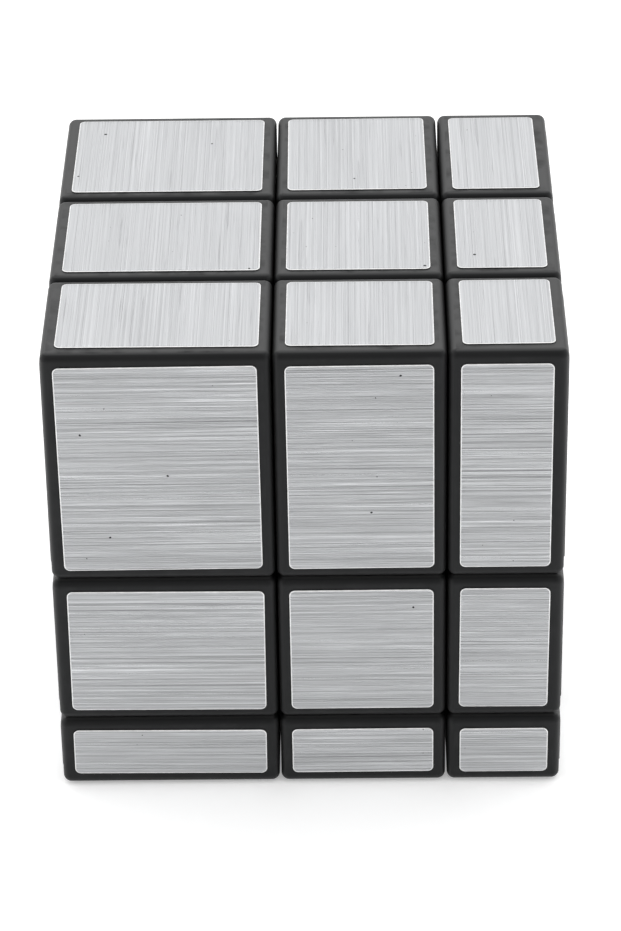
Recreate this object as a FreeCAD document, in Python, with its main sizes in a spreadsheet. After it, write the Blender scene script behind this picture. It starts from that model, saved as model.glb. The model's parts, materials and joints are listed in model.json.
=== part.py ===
import FreeCAD, Part
import os

from FreeCAD import Placement, Rotation, Vector

# A 3 x 3 x 3 twisty puzzle cube whose outer layers all differ in thickness, so that turning any
# face breaks the cube shape. Millimetres, +Z up. The cube rests on its thinnest layer with the
# origin at the middle of its footprint; its widest layer is on the left (-X) and -Y is the front.
#
# All six faces turn about one core. The cuts between layers lie 9.5 mm from the core outside a
# ball round the core, and foot_plane from it inside that ball. Everything is built in a frame
# whose origin is the core's centre, in one standard direction, and then turned into its place.

DRIVING_DIMENSIONS = [
    ("middle", 19.0, "thickness of the middle layer on all three axes"),
    ("left", 25.0, "thickness of the left layer"),
    ("right", 13.0, "thickness of the right layer"),
    ("front", 17.0, "thickness of the front layer"),
    ("back", 21.0, "thickness of the back layer"),
    ("top", 29.0, "thickness of the top layer"),
    ("bottom", 9.0, "thickness of the bottom layer"),
    ("gap", 0.18, "air between neighbouring blocks"),
    ("block_round", 0.9, "radius on every edge of a block"),
    ("shell_wall", 1.6, "wall of the hollow blocks"),
    ("ball_radius", 18.0, "ball inside which the feet run"),
    ("core_radius", 9.0, "ball kept free for the core"),
    ("foot_plane", 4.5, "cut plane inside the ball, from the core's centre"),
    ("slip", 0.2, "running clearance between sliding faces"),
    ("sticker_thickness", 0.15, "foil sticker"),
    ("sticker_outer_inset", 1.5, "sticker edge to the cube's outer edge"),
    ("sticker_inner_inset", 1.45, "sticker edge to the cut plane"),
    ("sticker_round", 0.65, "radius on a sticker's corners"),
    ("hub_radius", 5.6, "ball in the middle of the core"),
    ("arm_radius", 3.6, "arm of the core"),
    ("arm_end", 8.9, "end face of an arm, from the core's centre"),
    ("thread_radius", 1.5, "threaded hole in an arm"),
    ("thread_end", 3.0, "bottom of a threaded hole, from the core's centre"),
    ("shank_radius", 1.45, "screw shank"),
    ("shank_end", 4.0, "tip of a screw, from the core's centre"),
    ("shelf_thickness", 1.6, "shelf at the foot of a centre's stem, which the spring presses on"),
    ("shelf_hole_radius", 1.55, "hole in the shelf, which turns on the screw"),
    ("spring_bore_radius", 3.3, "bore in a centre's stem"),
    ("spring_radius", 2.5, "coil spring, to the middle of the wire"),
    ("wire_radius", 0.25, "spring wire"),
    ("spring_height", 4.2, "spring's height, compressed"),
    ("spring_pitch", 0.925, "spring's pitch, compressed"),
    ("spring_segment", 0.5, "turns of the spring that each of its faces runs along"),
    ("washer_radius", 3.0, "washer between spring and screw head"),
    ("washer_thickness", 0.5, "washer"),
    ("head_radius", 2.7, "screw head"),
    ("head_height", 1.8, "screw head"),
    ("recess_length", 3.2, "cross recess in a screw head"),
    ("recess_width", 0.6, "cross recess in a screw head"),
    ("recess_depth", 1.0, "cross recess in a screw head"),
    ("plug_radius", 3.9, "recess in a centre's base that takes the cap's post or the plug"),
    ("plug_depth", 0.9, "depth of that recess"),
    ("plug_fit", 0.05, "clearance round a cap's post, and under the cap"),
    ("post_bore_radius", 2.4, "bore of a cap's hollow post"),
]

doc = FreeCAD.newDocument("twisty_cube")
sheet = doc.addObject("Spreadsheet::Sheet", "sizes")
for row, (alias, value, meaning) in enumerate(DRIVING_DIMENSIONS, start=1):
    sheet.set(f"A{row}", meaning)
    sheet.set(f"B{row}", str(value))
    sheet.setAlias(f"B{row}", alias)
doc.recompute()

# Distances from the core's centre, as expressions on the sheet's cells.
CUT = "sizes.middle / 2"
NEAR = "(sizes.middle / 2 + sizes.gap / 2)"
SIDE = "(sizes.middle / 2 - sizes.gap / 2)"
FOOT_NEAR = "(sizes.foot_plane + sizes.slip / 2)"
FOOT_SIDE = "(sizes.foot_plane - sizes.slip / 2)"
BALL_CLEAR = "sizes.ball_radius + sizes.slip / 2"
BALL_FOOT = "sizes.ball_radius - sizes.slip / 2"
BALL_WALL = "(sizes.ball_radius + sizes.slip / 2 + sizes.shell_wall)"
CORE_CLEAR = "(sizes.core_radius + sizes.slip / 2)"
PLATE_TOP = "(sizes.middle / 2 + sizes.bottom)"
SHELF_TOP = f"({CORE_CLEAR} + sizes.shelf_thickness)"
SPRING_TOP = f"({SHELF_TOP} + sizes.spring_height)"
WASHER_TOP = f"({SPRING_TOP} + sizes.washer_thickness)"
HEAD_TOP = f"({WASHER_TOP} + sizes.head_height)"

# Where the core's centre stands in the cube's own frame.
CORE_PLACE = {
    "x": "(sizes.left - sizes.right) / 2",
    "y": "(sizes.front - sizes.back) / 2",
    "z": "sizes.bottom + sizes.middle / 2 + sizes.sticker_thickness",
}

# The direction that each face of the cube points in.
FACES = {
    "left": Vector(-1, 0, 0),
    "right": Vector(1, 0, 0),
    "front": Vector(0, -1, 0),
    "back": Vector(0, 1, 0),
    "top": Vector(0, 0, 1),
    "bottom": Vector(0, 0, -1),
}
LEFT_RIGHT = ("left", "right")
FRONT_BACK = ("front", "back")
TOP_BOTTOM = ("top", "bottom")

# How far a cutting solid runs past what it cuts, and the cosine above which two lines are parallel.
OVERRUN = 1
PARALLEL = 0.99


def outer(face):
    """The distance of a face's outer surface from the core's centre."""
    return f"({CUT} + sizes.{face})"


def bind(thing, **expressions):
    """Bind a thing's properties to expressions on the sheet."""
    for name, expression in expressions.items():
        thing.setExpression(name, expression)
    return thing


def start_at(thing, low):
    """Bind the place of a thing's own origin."""
    for axis, expression in zip("xyz", low):
        thing.setExpression(f".Placement.Base.{axis}", expression)
    return thing


def box(name, low, high):
    """A box between two corners that are given as expressions."""
    thing = doc.addObject("Part::Box", name)
    sizes = [f"({b}) - ({a})" for a, b in zip(low, high)]
    bind(thing, Length=sizes[0], Width=sizes[1], Height=sizes[2])
    return start_at(thing, low)


def ball(name, radius):
    return bind(doc.addObject("Part::Sphere", name), Radius=radius)


def rod(name, radius, low, high):
    """A cylinder on the Z axis, between two heights."""
    thing = doc.addObject("Part::Cylinder", name)
    bind(thing, Radius=radius, Height=f"({high}) - ({low})")
    return start_at(thing, ["0", "0", low])


def cut(name, base, *tools):
    """A base with each tool cut away in turn."""
    for number, tool in enumerate(tools, start=1):
        thing = doc.addObject("Part::Cut", name if number == len(tools) else f"{name}_{number}")
        thing.Base = base
        thing.Tool = tool
        base = thing
    return base


def fuse(name, *pieces):
    thing = doc.addObject("Part::MultiFuse", name)
    thing.Shapes = list(pieces)
    return thing


def common(name, base, tool):
    thing = doc.addObject("Part::Common", name)
    thing.Base = base
    thing.Tool = tool
    return thing


def group(name, *pieces):
    """Separate solids kept together as one sub-part."""
    thing = doc.addObject("Part::Compound", name)
    thing.Links = list(pieces)
    return thing


def rounded_block(name, low, high, radius, edges=None):
    """A box with rounded edges: all twelve, or those that run along the edges direction."""
    body = doc.addObject("PartDesign::Body", name)
    block = body.newObject("PartDesign::AdditiveBox", f"{name}_box")
    sizes = [f"({b}) - ({a})" for a, b in zip(low, high)]
    bind(block, Length=sizes[0], Width=sizes[1], Height=sizes[2])
    start_at(block, low)
    doc.recompute([block])
    fillet = body.newObject("PartDesign::Fillet", f"{name}_round")
    if edges is None:
        fillet.Base = (block, ["Edge1"])
        fillet.UseAllEdges = True
    else:
        chosen = [
            f"Edge{number}"
            for number, edge in enumerate(block.Shape.Edges, start=1)
            if abs(edge.tangentAt(edge.FirstParameter).dot(edges)) > PARALLEL
        ]
        fillet.Base = (block, chosen)
    bind(fillet, Radius=radius)
    return body


subparts = []


def keep(thing, label, turn=Rotation()):
    """Make a thing a sub-part: name it, turn it, and stand its origin on the core's centre."""
    thing.Label = label
    thing.Placement = Placement(Vector(), turn)
    start_at(thing, CORE_PLACE.values())
    subparts.append(thing)


def turned(x_to, y_to, z_to):
    """The rotation that takes the standard X, Y and Z directions to the given ones."""
    return Rotation(x_to, y_to, z_to, "XYZ")


# The balls that shape the mechanism are shared by every cubie.
ball_clear = ball("ball_clear", BALL_CLEAR)
ball_foot = ball("ball_foot", BALL_FOOT)
ball_wall = ball("ball_wall", BALL_WALL)
core_clear = ball("core_clear", CORE_CLEAR)


def sticker(name, low, high, face_axis):
    """A foil sticker: a thin sheet, its four corners rounded, on the face that face_axis leaves."""
    return rounded_block(name, low, high, "sizes.sticker_round", face_axis)


def past_wall(expression):
    return f"{expression} + sizes.shell_wall"


def before_wall(expression):
    return f"{expression} - sizes.shell_wall"


def beyond(expression):
    """A little past a block's outer surface."""
    return f"{expression} + {OVERRUN}"


def corner(label, faces, turn):
    """A corner cubie in the +X +Y +Z octant: a hollow outer shell on an inner frame with its foot."""
    far = [outer(face) for face in faces]
    block = rounded_block(f"{label}_block", [NEAR] * 3, far, "sizes.block_round")
    wall = past_wall(NEAR)
    outer_zone = box(f"{label}_zone", [wall] * 3, [beyond(e) for e in far])
    cavity = box(f"{label}_cavity", [wall] * 3, [before_wall(e) for e in far])
    shell = cut(f"{label}_shell", common(f"{label}_skin", block, outer_zone), cavity)

    foot_box = box(f"{label}_foot_box", [FOOT_NEAR] * 3, ["sizes.ball_radius"] * 3)
    foot = cut(f"{label}_foot", common(f"{label}_foot_blank", ball_foot, foot_box), core_clear)
    frame = fuse(f"{label}_frame", cut(f"{label}_walls", block, outer_zone), foot)
    keep(group(f"{label}_cubie", shell, frame), label, turn)

    stickers = []
    for axis, face in enumerate(faces):
        low = [f"{CUT} + sizes.sticker_inner_inset"] * 3
        high = [f"{e} - sizes.sticker_outer_inset" for e in far]
        low[axis] = far[axis]
        high[axis] = f"{far[axis]} + sizes.sticker_thickness"
        face_axis = Vector(*[float(i == axis) for i in range(3)])
        stickers.append(sticker(f"{label}_{face}_sticker", low, high, face_axis))
    keep(group(f"{label}_foils", *stickers), f"{label}_stickers", turn)


def edge(label, faces, turn):
    """An edge cubie between +X and +Z, lying along Y, made like a corner but cut by the ball."""
    x_far, z_far = [outer(face) for face in faces]
    low = [NEAR, f"-{SIDE}", NEAR]
    high = [x_far, SIDE, z_far]
    block = rounded_block(f"{label}_block", low, high, "sizes.block_round")
    wall = past_wall(NEAR)
    zone_low = [wall, f"-{SIDE} - {OVERRUN}", wall]
    outer_zone = box(f"{label}_zone", zone_low, [beyond(e) for e in high])
    cavity = box(
        f"{label}_cavity",
        [past_wall(e) for e in low],
        [before_wall(e) for e in high],
    )
    skin = common(f"{label}_skin", block, outer_zone)
    shell = cut(f"{label}_shell", skin, cavity, ball_wall)

    dome = common(f"{label}_dome", block, ball_wall)
    walls = cut(f"{label}_walls", block, outer_zone)
    hollowed = cut(f"{label}_hollowed", fuse(f"{label}_inside", walls, dome), ball_clear)
    foot_low = [FOOT_NEAR, f"-{FOOT_SIDE}", FOOT_NEAR]
    foot_box = box(f"{label}_foot_box", foot_low, ["sizes.ball_radius", FOOT_SIDE, "sizes.ball_radius"])
    foot = cut(f"{label}_foot", common(f"{label}_foot_blank", ball_foot, foot_box), core_clear)
    neck_low = [NEAR, f"-{FOOT_SIDE}", NEAR]
    neck_box = box(f"{label}_neck_box", neck_low, [BALL_WALL, FOOT_SIDE, BALL_WALL])
    neck = common(f"{label}_neck", neck_box, ball_wall)
    frame = fuse(f"{label}_frame", hollowed, neck, foot)
    keep(group(f"{label}_cubie", shell, frame), label, turn)

    along = f"({CUT} - sizes.sticker_inner_inset)"
    near = f"{CUT} + sizes.sticker_inner_inset"
    x_sticker = sticker(
        f"{label}_{faces[0]}_sticker",
        [x_far, f"-{along}", near],
        [f"{x_far} + sizes.sticker_thickness", along, f"{z_far} - sizes.sticker_outer_inset"],
        Vector(1, 0, 0),
    )
    z_sticker = sticker(
        f"{label}_{faces[1]}_sticker",
        [near, f"-{along}", z_far],
        [f"{x_far} - sizes.sticker_outer_inset", along, f"{z_far} + sizes.sticker_thickness"],
        Vector(0, 0, 1),
    )
    keep(group(f"{label}_foils", x_sticker, z_sticker), f"{label}_stickers", turn)


def centre(face, turn):
    """A centre cubie along +Z: a base whose stem turns on its screw, and what covers the screw."""
    label = f"{face}_centre"
    far = outer(face)
    low = [f"-{SIDE}", f"-{SIDE}", NEAR]
    block = rounded_block(f"{label}_block", low, [SIDE, SIDE, far], "sizes.block_round")

    plate_zone = box(f"{label}_plate_zone", low, [SIDE, SIDE, PLATE_TOP])
    plate = cut(f"{label}_plate", common(f"{label}_slab", block, plate_zone), ball_clear)
    stem_low = [f"-{FOOT_SIDE}", f"-{FOOT_SIDE}", CORE_CLEAR]
    stem = box(f"{label}_stem", stem_low, [FOOT_SIDE, FOOT_SIDE, PLATE_TOP])
    screw_hole = rod(f"{label}_screw_hole", "sizes.shelf_hole_radius", "0", PLATE_TOP)
    bore = rod(f"{label}_bore", "sizes.spring_bore_radius", SHELF_TOP, beyond(PLATE_TOP))
    recess_floor = f"({PLATE_TOP} - sizes.plug_depth)"
    recess = rod(f"{label}_recess", "sizes.plug_radius", recess_floor, beyond(PLATE_TOP))
    solid_base = fuse(f"{label}_solid_base", plate, stem)
    base = cut(f"{label}_bored_base", solid_base, screw_hole, bore, recess)
    keep(base, f"{label}_base", turn)

    cover_radius = "sizes.plug_radius - sizes.plug_fit"
    if face == "bottom":
        plug = rod(f"{label}_disc", cover_radius, recess_floor, PLATE_TOP)
        keep_as_plug(plug, f"{label}_plug", turn)
    else:
        below_cap = box(
            f"{label}_below_cap",
            [f"-{CUT}", f"-{CUT}", "0"],
            [CUT, CUT, f"{PLATE_TOP} + sizes.plug_fit"],
        )
        cavity = box(
            f"{label}_cavity",
            [f"-{SIDE} + sizes.shell_wall", f"-{SIDE} + sizes.shell_wall", "0"],
            [before_wall(SIDE), before_wall(SIDE), before_wall(far)],
        )
        cup = cut(f"{label}_cup", block, below_cap, cavity)
        post_foot = f"{recess_floor} + sizes.plug_fit"
        post_top = f"{far} - sizes.shell_wall / 2"
        post = rod(f"{label}_post", cover_radius, post_foot, post_top)
        post_bore = rod(f"{label}_post_bore", "sizes.post_bore_radius", "0", before_wall(far))
        tube = cut(f"{label}_tube", post, post_bore)
        keep(fuse(f"{label}_whole_cap", cup, tube), f"{label}_cap", turn)

    along = f"({CUT} - sizes.sticker_inner_inset)"
    foil = sticker(
        f"{label}_foil",
        [f"-{along}", f"-{along}", far],
        [along, along, f"{far} + sizes.sticker_thickness"],
        Vector(0, 0, 1),
    )
    keep(group(f"{label}_foils", foil), f"{label}_sticker", turn)


def keep_as_plug(plug, label, turn):
    """The plug's own place is inside its base, so a group of one carries it to the core."""
    keep(group(f"{label}_group", plug), label, turn)


def tension_set(face, turn):
    """One face's screw, washer and coil spring along +Z, clamping its centre to the core."""
    head = rod(f"{face}_head", "sizes.head_radius", WASHER_TOP, HEAD_TOP)
    shank = rod(f"{face}_shank", "sizes.shank_radius", "sizes.shank_end", WASHER_TOP)
    half_length = "sizes.recess_length / 2"
    half_width = "sizes.recess_width / 2"
    recess_floor = f"{HEAD_TOP} - sizes.recess_depth"
    slots = []
    for name, x, y in (("a", half_length, half_width), ("b", half_width, half_length)):
        low = [f"-{x}", f"-{y}", recess_floor]
        slots.append(box(f"{face}_slot_{name}", low, [x, y, beyond(HEAD_TOP)]))
    screw = cut(f"{face}_screw", fuse(f"{face}_screw_blank", head, shank), *slots)

    disc = rod(f"{face}_washer_disc", "sizes.washer_radius", SPRING_TOP, WASHER_TOP)
    hole = rod(f"{face}_washer_hole", "sizes.shelf_hole_radius", SPRING_TOP, WASHER_TOP)
    washer = cut(f"{face}_washer", disc, hole)

    coil_low = f"{SHELF_TOP} + sizes.wire_radius"
    helix = doc.addObject("Part::Helix", f"{face}_helix")
    bind(
        helix,
        Radius="sizes.spring_radius",
        Pitch="sizes.spring_pitch",
        Height="sizes.spring_height - 2 * sizes.wire_radius",
        SegmentLength="sizes.spring_segment",
    )
    start_at(helix, ["0", "0", coil_low])
    wire = doc.addObject("Part::Circle", f"{face}_wire")
    bind(wire, Radius="sizes.wire_radius")
    wire.Placement = Placement(Vector(), Rotation(Vector(1, 0, 0), 90))
    start_at(wire, ["sizes.spring_radius", "0", coil_low])
    spring = doc.addObject("Part::Sweep", f"{face}_spring")
    spring.Sections = [wire]
    spring.Spine = (helix, [])
    spring.Solid = True
    spring.Frenet = True
    whole = group(f"{face}_tension_set", screw, washer, spring)
    whole.Placement = Placement(Vector(), turn)
    return whole


def core():
    """The core: a ball with six arms, each with a threaded hole for its face's screw."""
    hub = ball("hub", "sizes.hub_radius")
    arms = []
    holes = []
    for face, direction in FACES.items():
        turn = Rotation(Vector(0, 0, 1), direction)
        arm = rod(f"{face}_arm", "sizes.arm_radius", "0", "sizes.arm_end")
        arm.Placement = Placement(Vector(), turn)
        arms.append(arm)
        hole = doc.addObject("Part::Cylinder", f"{face}_thread_hole")
        bind(hole, Radius="sizes.thread_radius", Height="sizes.arm_end - sizes.thread_end")
        hole.Placement = Placement(Vector(), turn)
        start_at(hole, [f"{c} * sizes.thread_end" for c in direction])
        holes.append(hole)
    keep(cut("core_bored", fuse("core_blank", hub, *arms), *holes), "core_spider")


def across(x_to, z_to):
    """The direction that completes a right-handed set with the given X and Z directions."""
    return z_to.cross(x_to)


core()
sets = [tension_set(face, Rotation(Vector(0, 0, 1), way)) for face, way in FACES.items()]
keep(group("tension_sets", *sets), "tension_screws_and_springs")

for face, direction in FACES.items():
    sideways = FACES["back"] if abs(direction.x) > PARALLEL else FACES["right"]
    centre(face, turned(sideways, across(sideways, direction), direction))

edge_pairs = [(z, x) for z in TOP_BOTTOM for x in FRONT_BACK + LEFT_RIGHT]
edge_pairs += [(y, x) for y in FRONT_BACK for x in LEFT_RIGHT]
for first, second in edge_pairs:
    x_to, z_to = FACES[second], FACES[first]
    edge(f"{first}_{second}_edge", (second, first), turned(x_to, across(x_to, z_to), z_to))

for z in TOP_BOTTOM:
    for y in FRONT_BACK:
        for x in LEFT_RIGHT:
            # A rotation can't mirror, so in every second octant the corner is built with its
            # X and Y thicknesses exchanged.
            order = (x, y, z)
            if FACES[x].cross(FACES[y]).dot(FACES[z]) < 0:
                order = (y, x, z)
            corner(f"{z}_{y}_{x}_corner", order, turned(*[FACES[face] for face in order]))

doc.recompute()

broken = [thing.Name for thing in doc.Objects if {"Invalid", "Error"} & set(thing.State)]
if broken:
    raise RuntimeError(f"these objects did not recompute: {broken}")
for thing in subparts:
    if thing.Shape.isNull() or not thing.Shape.isValid():
        raise RuntimeError(f"{thing.Label} has no valid shape")

os.makedirs("parts", exist_ok=True)
for thing in subparts:
    thing.Shape.exportStep(f"parts/{thing.Label}.step")
print(len(subparts), "sub-parts written")
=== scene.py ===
import json
import math
import random

import bmesh
import bpy
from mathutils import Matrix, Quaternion, Vector


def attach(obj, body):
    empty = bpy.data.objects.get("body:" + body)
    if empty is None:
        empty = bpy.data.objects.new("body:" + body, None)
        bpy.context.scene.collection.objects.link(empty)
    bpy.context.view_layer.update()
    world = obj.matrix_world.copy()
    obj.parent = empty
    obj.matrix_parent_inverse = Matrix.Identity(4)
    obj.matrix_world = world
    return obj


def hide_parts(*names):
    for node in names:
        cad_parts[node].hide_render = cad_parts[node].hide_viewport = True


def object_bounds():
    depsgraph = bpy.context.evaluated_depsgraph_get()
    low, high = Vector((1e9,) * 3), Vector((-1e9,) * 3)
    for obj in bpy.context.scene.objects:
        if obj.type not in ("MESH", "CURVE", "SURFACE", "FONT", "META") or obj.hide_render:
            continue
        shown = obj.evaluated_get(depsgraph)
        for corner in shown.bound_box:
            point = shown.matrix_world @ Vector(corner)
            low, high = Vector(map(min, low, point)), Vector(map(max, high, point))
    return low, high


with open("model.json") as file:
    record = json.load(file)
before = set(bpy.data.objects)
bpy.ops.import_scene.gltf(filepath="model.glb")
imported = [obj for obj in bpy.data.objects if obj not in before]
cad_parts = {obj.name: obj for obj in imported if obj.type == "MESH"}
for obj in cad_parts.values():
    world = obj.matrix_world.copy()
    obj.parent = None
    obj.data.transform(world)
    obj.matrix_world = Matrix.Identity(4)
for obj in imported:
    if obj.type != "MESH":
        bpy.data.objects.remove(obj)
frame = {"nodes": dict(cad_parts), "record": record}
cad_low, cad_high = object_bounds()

# The looks of a twisty puzzle cube: black moulded blocks from the CAD frame, and a brushed foil
# sticker built in detail for every face of every block. Metres, +Z up, -Y is the front.

MM = 0.001

# A sticker's edge is rolled over and a line is pressed in just inside it. Each pair is how far a
# ring of the sticker lies inside its outline, and how far it stands below the sticker's top.
STICKER_PROFILE_MM = (
    (0.000, None),
    (0.000, 0.055),
    (0.015, 0.028),
    (0.050, 0.012),
    (0.110, 0.004),
    (0.250, 0.000),
    (0.275, 0.010),
    (0.310, 0.010),
    (0.340, 0.000),
)
# The first rings of faces are the cut wall, the rings up to RIM_RINGS are the rolled rim, and the
# rest is foil. FOIL, RIM and WALL are the places of their materials.
WALL_RINGS = 1
RIM_RINGS = 4
FOIL, RIM, WALL = range(3)
STICKER_ROUND = 0.65 * MM
CORNER_STEPS = 8
GRID_STEP = 1.0 * MM

# The foil isn't quite flat: a few shallow waves of random length and direction cross it.
WAVES = 5
WAVE_HEIGHT = 0.0035 * MM
WAVE_LENGTHS_MM = (5.0, 16.0)

# Stickers are laid by hand: this far off their places, and this much askew, at most. Each takes
# its brushing from its own place in a field UV_FIELD wide.
PLACING_MM = 0.10
PLACING_TURN = math.radians(0.35)
UV_PER_MM = 0.01
UV_FIELD = 50.0

# The brushing is noise drawn out along U: its scale, detail and roughness, and its share.
STREAKS = (
    ((1.0, 760.0, 1.0), 1.0, 0.5, 0.54),
    ((12.0, 900.0, 5.0), 1.0, 0.5, 0.18),
    ((2.0, 330.0, 1.0), 2.0, 0.6, 0.20),
    ((2.0, 45.0, 1.0), 2.0, 0.5, 0.16),
)
# Single lines: the noise's scale, where it starts to show and shows in full, and the line's share.
DARK_LINES = ((1.5, 760.0, 3.0), 0.62, 0.72, 0.20)
BRIGHT_LINES = ((0.8, 560.0, 7.0), 0.63, 0.70, 0.36)
SPECKS = ((150.0, 150.0, 1.0), 0.878, 0.885)
SCRATCHES = ((6.0, 240.0, 1.0), 0.74, 0.80)
SCRATCH_TURN = 1.1
# Streaks are plainest face on, and fade as the foil turns away: this contrast that follows the view is
# painted light and shade of the brushing grooves. The first pair is how far it has turned away, and
# the second is the contrast there.
GROOVE_SHADE_FACING = (0.15, 0.47)
GROOVE_SHADE_CONTRAST = (2.40, 0.90)
FOIL_TONES = ((0.20, 0.36), (0.45, 0.53), (0.55, 0.58), (0.80, 0.80))
FOIL_DARK_LINE = 0.28
FOIL_BRIGHT_LINE = 0.80
FOIL_BUMP = 0.24 * MM

# A painted sheen lightens the upward faces of the plastic, in place of the overhead light they
# reflect, from this much upright to fully upright.
PAINTED_SHEEN_UPRIGHT = (0.80, 1.00)
PAINTED_SHEEN = 0.09

FLOOR_HALF_SIZE = 3.0
FLOOR_GLOW = 0.31
SEED = 20

# The camera, at the viewing angle of a photographer who stands close to straight in front.
CAMERA_LENS = 148.1
CAMERA_SENSOR = 36.0
CAMERA_DISTANCE = 450.0 * MM
CAMERA_ELEVATION = math.radians(31.87)
CAMERA_TURN = math.radians(-0.77)
CAMERA_ROLL = math.radians(-0.95)
AIM_FROM_CENTRE = Vector((0.16, -1.5, -2.4)) * MM

# The light tent: the middle of its opening, and how its light changes from the walls' strength, at
# the first cosine from that middle, to the opening's, at the second.
OPENING_ELEVATION = math.radians(28.0)
OPENING_FALL = (0.42, 0.88, 1.35, 0.45)
# How much dimmer the tent is at its back than at its middle, and brighter at its front.
BACK_SHADE = 0.13

LAMP_OFFSET = Vector((0.0, 0.25, 1.0))
LAMP_SIZE = 1.2
LAMP_WATTS = 1.4

rng = random.Random(SEED)


# Material nodes.


class Nodes:
    """A material's node tree, with short calls for the nodes that these materials use."""

    def __init__(self, name):
        self.material = bpy.data.materials.new(name)
        self.material.use_nodes = True
        self.tree = self.material.node_tree
        self.shader = self.tree.nodes["Principled BSDF"]

    def add(self, kind, **settings):
        node = self.tree.nodes.new(kind)
        for name, value in settings.items():
            setattr(node, name, value)
        return node

    def link(self, output, target):
        self.tree.links.new(output, target)

    def set(self, **values):
        """Set the shader's own sockets, with _ for each space in a socket's name."""
        for name, value in values.items():
            self.shader.inputs[name.replace("_", " ")].default_value = value

    def mapped(self, source, scale, angle=0.0):
        node = self.add("ShaderNodeMapping")
        node.inputs["Scale"].default_value = scale
        node.inputs["Rotation"].default_value = (0.0, 0.0, angle)
        self.link(source, node.inputs["Vector"])
        return node.outputs["Vector"]

    def noise(self, vector, scale=1.0, detail=2.0, roughness=0.5):
        node = self.add("ShaderNodeTexNoise")
        node.inputs["Scale"].default_value = scale
        node.inputs["Detail"].default_value = detail
        node.inputs["Roughness"].default_value = roughness
        self.link(vector, node.inputs["Vector"])
        return node.outputs["Fac"]

    def spread(self, value, low, high, to_low=0.0, to_high=1.0):
        """A value between low and high, stretched to another range and held inside it."""
        node = self.add("ShaderNodeMapRange", clamp=True)
        ends = {"From Min": low, "From Max": high, "To Min": to_low, "To Max": to_high}
        for name, number in ends.items():
            node.inputs[name].default_value = number
        self.link(value, node.inputs["Value"])
        return node.outputs["Result"]

    def math(self, operation, first, second):
        node = self.add("ShaderNodeMath", operation=operation)
        for socket, value in zip(node.inputs, (first, second)):
            if isinstance(value, (int, float)):
                socket.default_value = value
            else:
                self.link(value, socket)
        return node.outputs["Value"]

    def ramp(self, value, *stops):
        """Colours along a value: each stop is a place and a colour."""
        node = self.add("ShaderNodeValToRGB")
        elements = node.color_ramp.elements
        while len(elements) < len(stops):
            elements.new(0.5)
        for element, (place, colour) in zip(elements, stops):
            element.position = place
            element.color = (*colour, 1.0)
        self.link(value, node.inputs["Fac"])
        return node.outputs["Color"]

    def mix(self, share, first, second):
        """The first colour where share is 0 and the second where it is 1."""
        node = self.add("ShaderNodeMix", data_type="RGBA")
        self.link(share, node.inputs["Factor"])
        for name, value in (("A", first), ("B", second)):
            socket = [s for s in node.inputs if s.name == name and s.type == "RGBA"][0]
            if isinstance(value, tuple):
                socket.default_value = (*value, 1.0)
            else:
                self.link(value, socket)
        return [s for s in node.outputs if s.type == "RGBA"][0]

    def bump(self, height, strength, distance):
        node = self.add("ShaderNodeBump")
        node.inputs["Strength"].default_value = strength
        node.inputs["Distance"].default_value = distance
        self.link(height, node.inputs["Height"])
        self.link(node.outputs["Normal"], self.shader.inputs["Normal"])

    def place(self):
        """Where a point is in the object's frame, in metres."""
        return self.add("ShaderNodeTexCoord").outputs["Object"]


def grey(level):
    return (level, level, level)


def silver(level):
    """A grey of the foil, which is a little blue."""
    return (0.985 * level, level, 1.022 * level)


def brushed_foil():
    """Silver foil brushed along U: fine streaks, long lines, a few specks and cross scratches."""
    made = Nodes("brushed_foil")
    uv = made.add("ShaderNodeUVMap", uv_map="brushing").outputs["UV"]
    weight = made.add("ShaderNodeLayerWeight")
    # Painted groove shade: the streaks' colour contrast follows the viewing angle.
    painted_groove_shade = made.spread(weight.outputs["Facing"], *GROOVE_SHADE_FACING, *GROOVE_SHADE_CONTRAST)

    streaks = 0.0
    middle = sum(share for *_, share in STREAKS) / 2
    for scale, detail, roughness, share in STREAKS:
        part = made.noise(made.mapped(uv, scale), detail=detail, roughness=roughness)
        streaks = made.math("ADD", streaks, made.math("MULTIPLY", part, share))
    streaks = made.math("MULTIPLY", made.math("SUBTRACT", streaks, middle), painted_groove_shade)
    streaks = made.math("ADD", streaks, 0.5)
    colour = made.ramp(streaks, *[(place, silver(tone)) for place, tone in FOIL_TONES])

    lines = []
    for kind, tone in ((DARK_LINES, FOIL_DARK_LINE), (BRIGHT_LINES, FOIL_BRIGHT_LINE)):
        scale, start, full, share = kind
        line = made.spread(made.noise(made.mapped(uv, scale), detail=1.0), start, full)
        shown = made.math("MULTIPLY", made.math("MULTIPLY", line, painted_groove_shade), share)
        colour = made.mix(shown, colour, silver(tone))
        lines.append(line)
    dark, bright = lines

    scale, start, full = SPECKS
    speck = made.spread(made.noise(made.mapped(uv, scale), detail=0.0), start, full)
    colour = made.mix(speck, colour, grey(0.03))
    made.link(colour, made.shader.inputs["Base Color"])

    scale, start, full = SCRATCHES
    scratch_field = made.noise(made.mapped(uv, scale, angle=SCRATCH_TURN), detail=0.0)
    scratch = made.spread(scratch_field, start, full)
    rough = made.spread(streaks, 0.20, 0.80, 0.65, 0.25)
    for part, share in ((dark, 0.12), (bright, -0.12), (scratch, 0.12)):
        rough = made.math("ADD", rough, made.math("MULTIPLY", part, share))
    made.link(rough, made.shader.inputs["Roughness"])
    height = made.math("ADD", streaks, made.math("MULTIPLY", scratch, -0.3))
    height = made.math("ADD", height, made.math("MULTIPLY", bright, 0.10))
    made.bump(height, 1.0, FOIL_BUMP)
    made.set(Metallic=1.0, Anisotropic=0.6, Anisotropic_Rotation=0.25)
    tangent = made.add("ShaderNodeTangent", direction_type="UV_MAP", uv_map="brushing")
    made.link(tangent.outputs["Tangent"], made.shader.inputs["Tangent"])
    return made.material


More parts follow.
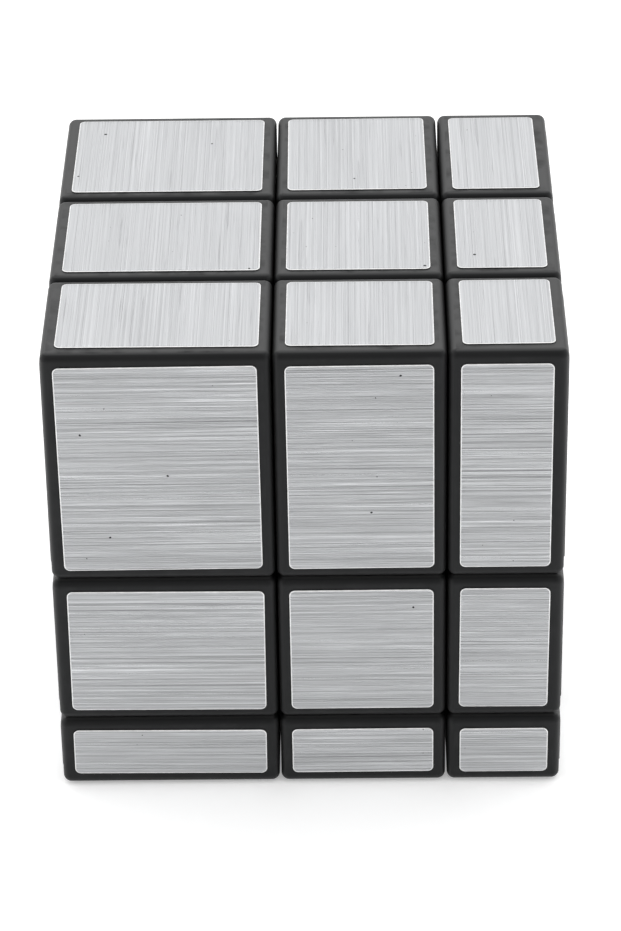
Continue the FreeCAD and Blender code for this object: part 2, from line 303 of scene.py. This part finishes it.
def foil_edge():
    """The rolled edge of a sticker, painted bright as a highlight along the rim, with a mottle of worn
    brushing.
    """
    made = Nodes("foil_edge")
    place = made.place()
    wear_and_highlight = made.noise(place, scale=1800.0, detail=2.0)
    # Painted highlight: the rim's colour is set far brighter than the foil's.
    colour = made.ramp(wear_and_highlight, (0.35, grey(0.76)), (0.65, grey(0.92)))
    made.link(colour, made.shader.inputs["Base Color"])
    made.link(made.spread(wear_and_highlight, 0.3, 0.7, 0.40, 0.55), made.shader.inputs["Roughness"])
    made.set(Metallic=0.5)
    return made.material


def sticker_core():
    """The dark vinyl under the foil, which shows round a sticker's cut edge."""
    made = Nodes("sticker_core")
    mottle = made.noise(made.place(), scale=2500.0, detail=2.0)
    colour = made.ramp(mottle, (0.35, grey(0.008)), (0.65, grey(0.02)))
    made.link(colour, made.shader.inputs["Base Color"])
    made.link(made.spread(mottle, 0.3, 0.7, 0.50, 0.70), made.shader.inputs["Roughness"])
    made.set(Specular_IOR_Level=0.3)
    return made.material


def moulded_plastic(name, colour, worn_and_highlight_colour, roughness):
    """Moulded ABS: satin grain, slow flow waves, light scuffs, worn edges that are partly a painted
    edge highlight, and a painted sheen on upward faces.
    """
    made = Nodes(name)
    place = made.place()
    grain = made.noise(place, scale=5200.0, detail=2.0)
    flow = made.noise(place, scale=130.0, detail=2.0)
    scuff_field = made.noise(made.mapped(place, (900.0, 140.0, 500.0), angle=0.6), detail=1.0)
    scuff = made.spread(scuff_field, 0.66, 0.80)
    # Painted edge highlight: Pointiness lightens the convex edges in patches, and this also stands for
    # wear.
    edge = made.spread(made.add("ShaderNodeNewGeometry").outputs["Pointiness"], 0.53, 0.60)
    patches = made.spread(made.noise(place, scale=420.0, detail=3.0), 0.45, 0.70)
    wear_and_highlight = made.math("MULTIPLY", edge, patches)
    base = made.ramp(flow, (0.35, colour), (0.65, tuple(c * 1.15 for c in colour)))
    normal = made.add("ShaderNodeSeparateXYZ")
    made.link(made.add("ShaderNodeTexCoord").outputs["Normal"], normal.inputs["Vector"])
    # Painted sheen: upward faces are mixed towards pale grey, in place of the overhead light they
    # reflect.
    painted_sheen = made.spread(normal.outputs["Z"], *PAINTED_SHEEN_UPRIGHT, 0.0, PAINTED_SHEEN)
    base = made.mix(painted_sheen, base, grey(0.5))
    made.link(made.mix(wear_and_highlight, base, worn_and_highlight_colour), made.shader.inputs["Base Color"])
    rough = made.spread(flow, 0.3, 0.7, roughness - 0.01, roughness + 0.01)
    rough = made.math("ADD", rough, made.math("MULTIPLY", scuff, 0.06))
    made.link(rough, made.shader.inputs["Roughness"])
    made.bump(grain, 0.2, 0.01 * MM)
    made.set(Specular_IOR_Level=0.5, Specular_Tint=(0.35, 0.36, 0.375, 1.0))
    return made.material


def turned_steel():
    """Screws, washers and springs: drawn and turned steel with a faint oily film."""
    made = Nodes("turned_steel")
    place = made.place()
    lines = made.noise(made.mapped(place, (900.0, 900.0, 9000.0)), detail=2.0)
    film = made.noise(place, scale=300.0, detail=2.0)
    made.link(made.ramp(lines, (0.3, grey(0.42)), (0.7, grey(0.62))), made.shader.inputs["Base Color"])
    made.link(made.spread(film, 0.3, 0.7, 0.22, 0.42), made.shader.inputs["Roughness"])
    made.bump(lines, 0.2, 0.01 * MM)
    made.set(Metallic=1.0)
    return made.material


def floor_paper():
    """White paper under the cube."""
    made = Nodes("floor_paper")
    fibre = made.noise(made.place(), scale=900.0, detail=3.0)
    made.link(made.ramp(fibre, (0.3, grey(0.90)), (0.7, grey(0.93))), made.shader.inputs["Base Color"])
    made.set(Roughness=0.75, Emission_Color=(1.0, 1.0, 1.0, 1.0), Emission_Strength=FLOOR_GLOW)
    return made.material


# Stickers.


def islands(mesh):
    """The boxes (low corner, high corner) of a mesh's separate pieces."""
    parent = list(range(len(mesh.vertices)))

    def root(i):
        while parent[i] != i:
            parent[i] = parent[parent[i]]
            i = parent[i]
        return i

    at = {}
    for vertex in mesh.vertices:
        key = tuple(round(c / (0.001 * MM)) for c in vertex.co)
        parent[root(vertex.index)] = root(at.setdefault(key, vertex.index))
    for a, b in mesh.edge_keys:
        parent[root(a)] = root(b)
    boxes = {}
    for vertex in mesh.vertices:
        low, high = boxes.setdefault(root(vertex.index), (vertex.co.copy(), vertex.co.copy()))
        for k in range(3):
            low[k] = min(low[k], vertex.co[k])
            high[k] = max(high[k], vertex.co[k])
    return sorted(boxes.values(), key=lambda pair: tuple(pair[0]))


def outline(half_u, half_v, inset, counts):
    """Points round a rounded rectangle, inset from its outline, anticlockwise from the +U side."""
    radius = STICKER_ROUND - inset
    side_u, side_v = half_u - STICKER_ROUND, half_v - STICKER_ROUND
    corners = ((side_u, side_v), (-side_u, side_v), (-side_u, -side_v), (side_u, -side_v))
    points = []
    for number, (cu, cv) in enumerate(corners):
        start = number * math.pi / 2
        for step in range(CORNER_STEPS + 1):
            angle = start + step / CORNER_STEPS * math.pi / 2
            points.append((cu + radius * math.cos(angle), cv + radius * math.sin(angle)))
        end_u, end_v = points[-1]
        next_u, next_v = corners[(number + 1) % 4]
        angle = start + math.pi / 2
        next_start = (next_u + radius * math.cos(angle), next_v + radius * math.sin(angle))
        count = counts[number % 2]
        for step in range(1, count):
            share = step / count
            point_u = end_u + (next_start[0] - end_u) * share
            point_v = end_v + (next_start[1] - end_v) * share
            points.append((point_u, point_v))
    return points


def waves():
    """A gentle unevenness of the foil, as a function of a place on the sticker."""
    parts = []
    for _ in range(WAVES):
        angle = rng.uniform(0.0, math.pi)
        turns = 2 * math.pi / (rng.uniform(*WAVE_LENGTHS_MM) * MM)
        parts.append((math.cos(angle) * turns, math.sin(angle) * turns, rng.uniform(0.0, 2 * math.pi)))

    def height(u, v):
        return WAVE_HEIGHT * sum(math.sin(a * u + b * v + phase) for a, b, phase in parts) / WAVES

    return height


def add_sticker(bm, uv_layer, low, high, centre):
    """One sticker in place of the thin CAD sheet between low and high."""
    size = high - low
    normal_axis = min(range(3), key=lambda k: size[k])
    outward = 1.0 if low[normal_axis] > centre[normal_axis] else -1.0
    normal = Vector([outward if k == normal_axis else 0.0 for k in range(3)])
    brush = Vector((1, 0, 0)) if normal_axis == 1 else Vector((0, 1, 0))
    across = normal.cross(brush)
    half_u = abs(size.dot(brush)) / 2
    half_v = abs(size.dot(across)) / 2
    thickness = size[normal_axis]
    middle = (low + high) / 2
    for direction in (brush, across):
        middle += direction * rng.uniform(-PLACING_MM, PLACING_MM) * MM
    placing = Quaternion(normal, rng.uniform(-PLACING_TURN, PLACING_TURN))
    brush, across = placing @ brush, placing @ across
    top = middle + normal * thickness / 2
    wave = waves()
    offset_u, offset_v = rng.uniform(0.0, UV_FIELD), rng.uniform(0.0, UV_FIELD)

    def vertex(u, v, below, waving):
        depth = thickness if below is None else below * MM
        lift = wave(u, v) * waving
        return bm.verts.new(top + brush * u + across * v + normal * (min(lift, 0.0) - depth))

    inner_u, inner_v = half_u - STICKER_ROUND, half_v - STICKER_ROUND
    steps_u = max(2, round(2 * inner_u / GRID_STEP))
    steps_v = max(2, round(2 * inner_v / GRID_STEP))
    counts = (steps_u, steps_v)
    rings = []
    for inset, below in STICKER_PROFILE_MM:
        points = outline(half_u, half_v, inset * MM, counts)
        rings.append([vertex(u, v, below, 0.0) for u, v in points])
    grid = [
        [
            vertex((2 * i / steps_u - 1) * inner_u, (2 * j / steps_v - 1) * inner_v, 0.0, 1.0)
            for i in range(steps_u + 1)
        ]
        for j in range(steps_v + 1)
    ]
    # The grid's border, anticlockwise from its +U +V corner, with each corner once for every point
    # of the rounded corner outside it.
    sides = (
        list(reversed(grid[steps_v])),
        [row[0] for row in reversed(grid)],
        grid[0],
        [row[steps_u] for row in grid],
    )
    rings.append([vert for side in sides for vert in [side[0]] * CORNER_STEPS + side[:-1]])

    faces = []
    for number, (outside, inside) in enumerate(zip(rings, rings[1:])):
        kind = WALL if number < WALL_RINGS else RIM if number < RIM_RINGS else FOIL
        for k in range(len(outside)):
            after = (k + 1) % len(outside)
            quad = [outside[k], outside[after], inside[after], inside[k]]
            if inside[k] is inside[after]:
                quad.pop()
            face = bm.faces.new(quad)
            face.material_index = kind
            faces.append(face)
    for j in range(steps_v):
        for i in range(steps_u):
            quad = (grid[j][i], grid[j][i + 1], grid[j + 1][i + 1], grid[j + 1][i])
            faces.append(bm.faces.new(quad))
    faces.append(bm.faces.new(list(reversed(rings[0]))))
    for face in faces:
        face.smooth = True
        for loop in face.loops:
            local = loop.vert.co - middle
            along, sideways = local.dot(brush) / MM, local.dot(across) / MM
            loop[uv_layer].uv = ((along + offset_u) * UV_PER_MM, (sideways + offset_v) * UV_PER_MM)
    faces[-1].smooth = False


def sticker_piece(node, body, materials, centre):
    """The stickers of one block as one piece, which stands for the block's CAD sticker node."""
    bm = bmesh.new()
    uv_layer = bm.loops.layers.uv.new("brushing")
    for low, high in islands(frame["nodes"][node].data):
        add_sticker(bm, uv_layer, low, high, centre)
    mesh = bpy.data.meshes.new(f"{node}_foil")
    bm.to_mesh(mesh)
    bm.free()
    for material in materials:
        mesh.materials.append(material)
    piece = bpy.data.objects.new(f"{node}_foil", mesh)
    bpy.context.scene.collection.objects.link(piece)
    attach(piece, body)
    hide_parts(node)


def finish_cad(node, materials):
    """A CAD node keeps its shape and takes the detailed material for its slot."""
    for slot in frame["nodes"][node].material_slots:
        slot.material = materials[slot.material.name.split(".")[0]]


# Stage.


def make_floor(low):
    bm = bmesh.new()
    bmesh.ops.create_grid(bm, x_segments=2, y_segments=2, size=FLOOR_HALF_SIZE)
    mesh = bpy.data.meshes.new("floor")
    bm.to_mesh(mesh)
    bm.free()
    mesh.materials.append(floor_paper())
    floor = bpy.data.objects.new("floor", mesh)
    floor.location.z = low.z
    bpy.context.scene.collection.objects.link(floor)


def make_world():
    """A white light tent whose dark opening is at the front, a little above the floor."""
    world = bpy.data.worlds.new("tent")
    world.use_nodes = True
    tree = world.node_tree
    place = tree.nodes.new("ShaderNodeTexCoord")
    towards = tree.nodes.new("ShaderNodeVectorMath")
    towards.operation = "DOT_PRODUCT"
    towards.inputs[1].default_value = (0.0, -math.cos(OPENING_ELEVATION), math.sin(OPENING_ELEVATION))
    ramp = tree.nodes.new("ShaderNodeMapRange")
    ramp.interpolation_type = "SMOOTHSTEP"
    for name, number in zip(("From Min", "From Max", "To Min", "To Max"), OPENING_FALL):
        ramp.inputs[name].default_value = number
    tree.links.new(place.outputs["Generated"], towards.inputs[0])
    tree.links.new(towards.outputs["Value"], ramp.inputs["Value"])
    split = tree.nodes.new("ShaderNodeSeparateXYZ")
    tree.links.new(place.outputs["Generated"], split.inputs["Vector"])
    tilt = tree.nodes.new("ShaderNodeMath")
    tilt.operation = "MULTIPLY_ADD"
    tilt.inputs[1].default_value = -BACK_SHADE
    tree.links.new(split.outputs["Y"], tilt.inputs[0])
    tree.links.new(ramp.outputs["Result"], tilt.inputs[2])
    background = tree.nodes["Background"]
    background.inputs["Color"].default_value = (1.0, 1.0, 1.0, 1.0)
    tree.links.new(tilt.outputs["Value"], background.inputs["Strength"])
    bpy.context.scene.world = world


def make_light(name, place, target, size, power):
    light = bpy.data.lights.new(name, "AREA")
    light.shape = "SQUARE"
    light.size = size
    light.energy = power
    lamp = bpy.data.objects.new(name, light)
    lamp.location = place
    lamp.rotation_mode = "QUATERNION"
    lamp.rotation_quaternion = (target - place).to_track_quat("-Z", "Y")
    bpy.context.scene.collection.objects.link(lamp)


def make_camera(centre):
    camera = bpy.data.objects.new("camera", bpy.data.cameras.new("camera"))
    camera.data.lens = CAMERA_LENS
    camera.data.sensor_width = CAMERA_SENSOR
    camera.data.sensor_fit = "AUTO"
    camera.data.clip_start = 0.01
    forward = Vector((
        math.sin(CAMERA_TURN) * math.cos(CAMERA_ELEVATION),
        math.cos(CAMERA_TURN) * math.cos(CAMERA_ELEVATION),
        -math.sin(CAMERA_ELEVATION),
    ))
    camera.location = centre + AIM_FROM_CENTRE - forward * CAMERA_DISTANCE
    camera.rotation_mode = "QUATERNION"
    camera.rotation_quaternion = forward.to_track_quat("-Z", "Y") @ Quaternion((0, 0, 1), CAMERA_ROLL)
    bpy.context.scene.collection.objects.link(camera)
    bpy.context.scene.camera = camera


# The object.

cube_centre = (cad_low + cad_high) / 2
foil_materials = (brushed_foil(), foil_edge(), sticker_core())
slot_materials = {
    "black_plastic": moulded_plastic("moulded_black", grey(0.008), grey(0.013), 0.46),
    "core_plastic": moulded_plastic("core_white", grey(0.62), grey(0.7), 0.45),
    "steel": turned_steel(),
    "silver_foil": foil_materials[FOIL],
}
for body, members in frame["record"]["behaviour"]["bodies"].items():
    for member in members:
        if "sticker" in member:
            sticker_piece(member, body, foil_materials, cube_centre)
        else:
            finish_cad(member, slot_materials)

make_floor(cad_low)
make_world()
make_light("overhead", cube_centre + LAMP_OFFSET, cube_centre, LAMP_SIZE, LAMP_WATTS)
make_camera(cube_centre)
bpy.context.scene.view_settings.view_transform = "Standard"
